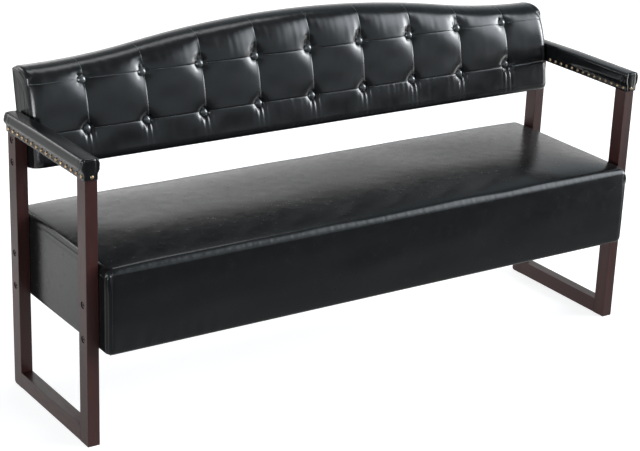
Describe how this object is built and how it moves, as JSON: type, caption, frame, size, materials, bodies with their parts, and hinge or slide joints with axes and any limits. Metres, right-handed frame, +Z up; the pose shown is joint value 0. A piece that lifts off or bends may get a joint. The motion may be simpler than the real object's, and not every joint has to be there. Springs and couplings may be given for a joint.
{
  "type": "waiting bench",
  "caption": "Long upholstered waiting bench with a camelback button-tufted backrest, between two rectangular wooden side frames with padded, nail-trimmed arms.",
  "frame": {"origin": "on the floor, at the middle of the side frames' footprint", "axes": "+X along the bench to its right end, +Y to the back, +Z up"},
  "size_m": [1.6126, 0.4908, 0.8515],
  "materials": {
    "dark_wood": "satin",
    "hardwood": "matte",
    "softwood": "matte",
    "plywood": "matte",
    "foam": "matte",
    "leatherette": "gloss",
    "dust_cloth": "matte",
    "twine": "matte",
    "antique_brass": "satin",
    "black_steel": "satin",
    "zinc_steel": "satin"
  },
  "bodies": {
    "root": {"front_leg_left": "dark_wood", "front_leg_right": "dark_wood", "rear_leg_left": "dark_wood", "rear_leg_right": "dark_wood", "floor_rail_left": "dark_wood", "floor_rail_right": "dark_wood", "frame_dowels_left": "hardwood", "frame_dowels_right": "hardwood", "arm_rail_left": "dark_wood", "arm_rail_right": "dark_wood", "arm_foam_left": "foam", "arm_foam_right": "foam", "arm_cover_left": "leatherette", "arm_cover_right": "leatherette", "arm_nails_left": "antique_brass", "arm_nails_right": "antique_brass", "seat_front_board": "softwood", "seat_rear_board": "softwood", "seat_end_board_left": "softwood", "seat_end_board_right": "softwood", "seat_cross_braces": "softwood", "seat_corner_blocks": "softwood", "seat_deck": "plywood", "seat_foam": "foam", "seat_topper": "foam", "seat_cover": "leatherette", "seat_dust_cover": "dust_cloth", "back_bottom_rail": "softwood", "back_top_rail": "softwood", "back_stile_left": "softwood", "back_stile_right": "softwood", "back_uprights": "softwood", "back_panel": "plywood", "back_foam": "foam", "back_cover": "leatherette", "back_rear_panel": "leatherette", "back_buttons": "leatherette", "button_twines": "twine", "seat_bolts_left": "black_steel", "seat_bolts_right": "black_steel", "back_bolts_left": "black_steel", "back_bolts_right": "black_steel", "seat_inserts_left": "zinc_steel", "seat_inserts_right": "zinc_steel", "back_inserts_left": "zinc_steel", "back_inserts_right": "zinc_steel"}
  },
  "joints": []
}
